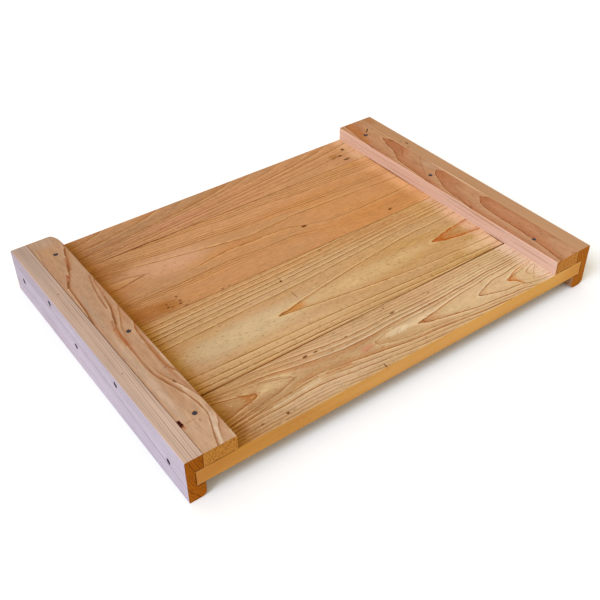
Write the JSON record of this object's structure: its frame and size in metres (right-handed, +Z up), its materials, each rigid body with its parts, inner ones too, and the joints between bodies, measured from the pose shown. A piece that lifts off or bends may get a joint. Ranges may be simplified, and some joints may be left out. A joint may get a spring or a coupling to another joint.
{
  "type": "migratory cover",
  "caption": "Flat wooden beehive lid of edge-laid boards housed in grooved end cleats that hang below as lips, with a nailed batten on top along each end.",
  "frame": {"origin": "bottom centre of the cover: under its middle, at the level of the undersides of the two lips", "axes": "+X along the boards from the left cleat to the right one, +Y from the front edge to the back, +Z up"},
  "size_m": [0.565, 0.413, 0.058],
  "materials": {
    "back_board_wood": "planed, bare",
    "rear_middle_board_wood": "planed, bare",
    "front_middle_board_wood": "planed, bare",
    "front_board_wood": "planed, bare",
    "left_cleat_wood": "planed, bare",
    "right_cleat_wood": "planed, bare",
    "left_batten_wood": "planed, bare",
    "right_batten_wood": "planed, bare",
    "nail_steel": "plain bright wire"
  },
  "bodies": {
    "root": {"back_board": "back_board_wood", "rear_middle_board": "rear_middle_board_wood", "front_middle_board": "front_middle_board_wood", "front_board": "front_board_wood", "left_end_cleat": "left_cleat_wood", "right_end_cleat": "right_cleat_wood", "left_batten": "left_batten_wood", "right_batten": "right_batten_wood", "left_cleat_board_nails": "nail_steel", "left_cleat_batten_nails": "nail_steel", "left_batten_nails": "nail_steel", "right_cleat_board_nails": "nail_steel", "right_cleat_batten_nails": "nail_steel", "right_batten_nails": "nail_steel"}
  },
  "joints": []
}
